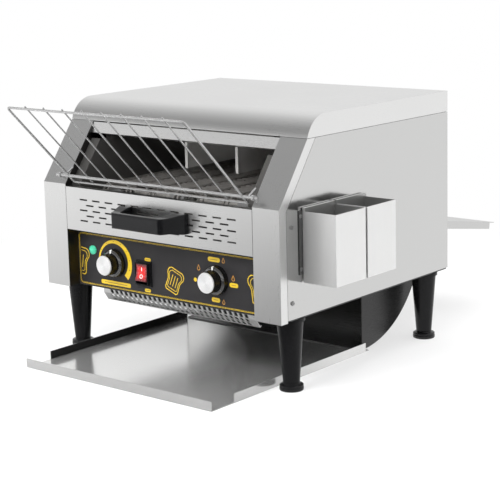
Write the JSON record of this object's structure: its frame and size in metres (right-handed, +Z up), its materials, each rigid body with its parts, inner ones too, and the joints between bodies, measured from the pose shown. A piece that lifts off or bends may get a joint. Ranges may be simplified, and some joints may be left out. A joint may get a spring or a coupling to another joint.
{
  "type": "conveyor toaster",
  "caption": "Countertop conveyor toaster: steel body on black legs, wire loading rack over a belt cell, crumb drawer, knobs, output tray with curved slide, rear shelf and side utensil boxes.",
  "frame": {"origin": "on the table, under the middle of the body's footprint", "axes": "+X to the viewer's right when facing the feed opening, -Y to the front, +Z up"},
  "size_m": [0.531, 0.7786, 0.4062],
  "materials": {
    "brushed_sheet": "brushed",
    "polished_sheet": "fine brushed",
    "inner_sheet": "mill finish",
    "pan_dark": "dark coat",
    "slide_plates": "mill finish",
    "panel_grey": "satin printed",
    "black_moulding": "fine texture",
    "satin_metal": "spun",
    "spindle_steel": "turned",
    "control_body": "moulded",
    "red_lens": "translucent",
    "green_lens": "translucent",
    "wire_belt": "drawn wire",
    "bronze": "sintered",
    "motor_steel": "plated",
    "quartz": "frosted",
    "rack_wire": "bright",
    "leg_black": "semi-gloss",
    "foot_black": "moulded",
    "ceramic_block": "moulded"
  },
  "bodies": {
    "case": {"top_cover": "brushed_sheet", "side_panel_right": "brushed_sheet", "side_panel_left": "brushed_sheet", "front_cheek_right": "brushed_sheet", "front_cheek_left": "brushed_sheet", "opening_lip": "brushed_sheet", "rear_panel": "brushed_sheet", "bottom_guard": "brushed_sheet", "rear_shelf": "brushed_sheet", "toast_slide": "polished_sheet", "box_plate": "polished_sheet", "base_pan": "pan_dark", "inner_wall_right": "inner_sheet", "inner_wall_left": "inner_sheet", "reflectors": "inner_sheet", "lane_guides": "inner_sheet", "rear_guide": "inner_sheet", "slide_sides": "slide_plates", "control_panel": "panel_grey", "rocker_bezel": "black_moulding", "cable_gland": "black_moulding", "case_screws": "spindle_steel", "speed_regulator": "control_body", "mode_selector": "control_body", "fan_frame": "control_body", "indicator_lens": "green_lens", "conveyor_belt": "wire_belt", "drive_chain": "wire_belt", "shaft_bushes": "bronze", "gear_motor": "motor_steel", "heating_tubes": "quartz", "rack_bushes": "rack_wire", "leg_fr": "leg_black", "leg_fl": "leg_black", "leg_rr": "leg_black", "leg_rl": "leg_black", "terminal_block": "ceramic_block"},
    "drawer": {"drawer_front": "brushed_sheet", "crumb_tray": "inner_sheet", "drawer_handle": "black_moulding"},
    "speed_dial": {"speed_knob": "black_moulding", "speed_cap": "satin_metal", "speed_spindle": "spindle_steel"},
    "mode_dial": {"mode_knob": "black_moulding", "mode_cap": "satin_metal", "mode_spindle": "spindle_steel"},
    "rocker": {"rocker_button": "red_lens"},
    "drive_roller": {"drive_shaft": "spindle_steel"},
    "idler_roller": {"idler_shaft": "spindle_steel"},
    "motor_output": {"motor_sprocket": "spindle_steel"},
    "fan": {"fan_rotor": "control_body"},
    "rack": {"loading_rack": "rack_wire"},
    "tray": {"output_tray": "brushed_sheet"},
    "box_front": {"utensil_box_front": "polished_sheet"},
    "box_rear": {"utensil_box_rear": "polished_sheet"},
    "foot_front_right": {"foot_fr": "foot_black"},
    "foot_front_left": {"foot_fl": "foot_black"},
    "foot_rear_right": {"foot_rr": "foot_black"},
    "foot_rear_left": {"foot_rl": "foot_black"}
  },
  "joints": [
    {"name": "rack_fold", "type": "hinge", "parent": "case", "child": "rack", "pos_m": [0, -0.2175, 0.2845], "axis": [-1, 0, 0], "range_deg": [0, 44]},
    {"name": "drawer_slide", "type": "slide", "parent": "case", "child": "drawer", "axis": [0, -1, 0], "range_m": [0, 0.25]},
    {"name": "speed_turn", "type": "hinge", "parent": "case", "child": "speed_dial", "pos_m": [-0.107, -0.192, 0.151], "axis": [0, 1, 0], "range_deg": [0, 270]},
    {"name": "mode_turn", "type": "hinge", "parent": "case", "child": "mode_dial", "pos_m": [0.0995, -0.192, 0.151], "axis": [0, 1, 0], "range_deg": [0, 270]},
    {"name": "rocker_tilt", "type": "hinge", "parent": "case", "child": "rocker", "pos_m": [-0.045, -0.185, 0.1425], "axis": [1, 0, 0], "range_deg": [0, 16]},
    {"name": "drive_turn", "type": "hinge", "parent": "case", "child": "drive_roller", "pos_m": [0, 0.096, 0.246], "axis": [1, 0, 0], "continuous": true},
    {"name": "idler_turn", "type": "hinge", "parent": "case", "child": "idler_roller", "pos_m": [0, -0.15, 0.246], "axis": [1, 0, 0], "continuous": true},
    {"name": "motor_turn", "type": "hinge", "parent": "case", "child": "motor_output", "pos_m": [0.182, 0.02, 0.298], "axis": [1, 0, 0], "continuous": true},
    {"name": "fan_turn", "type": "hinge", "parent": "case", "child": "fan", "pos_m": [-0.225, 0.075, 0.16], "axis": [1, 0, 0], "continuous": true},
    {"name": "tray_slide", "type": "slide", "parent": "case", "child": "tray", "axis": [0, -1, 0], "range_m": [0, 0.15]},
    {"name": "box_front_lift", "type": "slide", "parent": "case", "child": "box_front", "axis": [0, 0, 1], "range_m": [0, 0.04]},
    {"name": "box_rear_lift", "type": "slide", "parent": "case", "child": "box_rear", "axis": [0, 0, 1], "range_m": [0, 0.04]},
    {"name": "foot_fr_turn", "type": "hinge", "parent": "case", "child": "foot_front_right", "pos_m": [0.213, -0.166, 0.01], "axis": [0, 0, 1], "continuous": true},
    {"name": "foot_fl_turn", "type": "hinge", "parent": "case", "child": "foot_front_left", "pos_m": [-0.213, -0.166, 0.01], "axis": [0, 0, 1], "continuous": true},
    {"name": "foot_rr_turn", "type": "hinge", "parent": "case", "child": "foot_rear_right", "pos_m": [0.213, 0.178, 0.01], "axis": [0, 0, 1], "continuous": true},
    {"name": "foot_rl_turn", "type": "hinge", "parent": "case", "child": "foot_rear_left", "pos_m": [-0.213, 0.178, 0.01], "axis": [0, 0, 1], "continuous": true}
  ],
  "couplings": [
    {"joint": "idler_turn", "follows": "drive_turn", "ratio": 1},
    {"joint": "motor_turn", "follows": "drive_turn", "ratio": 1.6}
  ]
}
